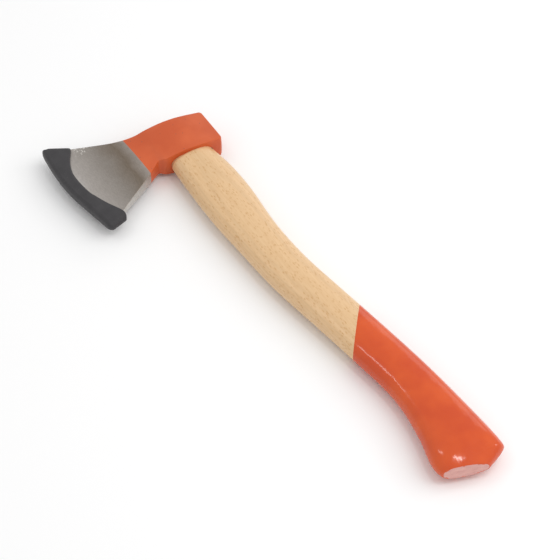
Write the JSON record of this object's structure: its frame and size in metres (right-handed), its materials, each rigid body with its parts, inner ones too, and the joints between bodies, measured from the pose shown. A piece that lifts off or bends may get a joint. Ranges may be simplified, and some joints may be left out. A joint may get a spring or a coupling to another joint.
{
  "type": "hatchet",
  "caption": "One-hand hatchet with a painted forged head, curved ash handle dipped in lacquer at the butt, and a slip-on plastic edge guard.",
  "frame": {"origin": "middle of the footprint, on the surface that the hatchet lies on", "axes": "+X along the handle from the eye to the butt, +Y from the cutting edge to the poll, +Z out of the upper cheek"},
  "size_m": [0.4378, 0.1476, 0.025],
  "materials": {
    "painted_head": "satin orange enamel over forged steel, with the blade ground bright below a straight line",
    "ash_handle": "clear-lacquered ash, dipped in glossy orange lacquer over the grip end",
    "wedge_wood": "sawn beech, unfinished",
    "wedge_steel": "cut tube steel, bare",
    "guard_plastic": "matt moulded dark grey plastic"
  },
  "bodies": {
    "hatchet": {"axe_head": "painted_head", "handle": "ash_handle", "wooden_wedge": "wedge_wood", "ring_wedge": "wedge_steel"},
    "guard": {"edge_guard": "guard_plastic"}
  },
  "joints": [
    {"name": "guard_slide", "type": "slide", "parent": "hatchet", "child": "guard", "axis": [0, -1, 0], "range_m": [0, 0.04]}
  ]
}
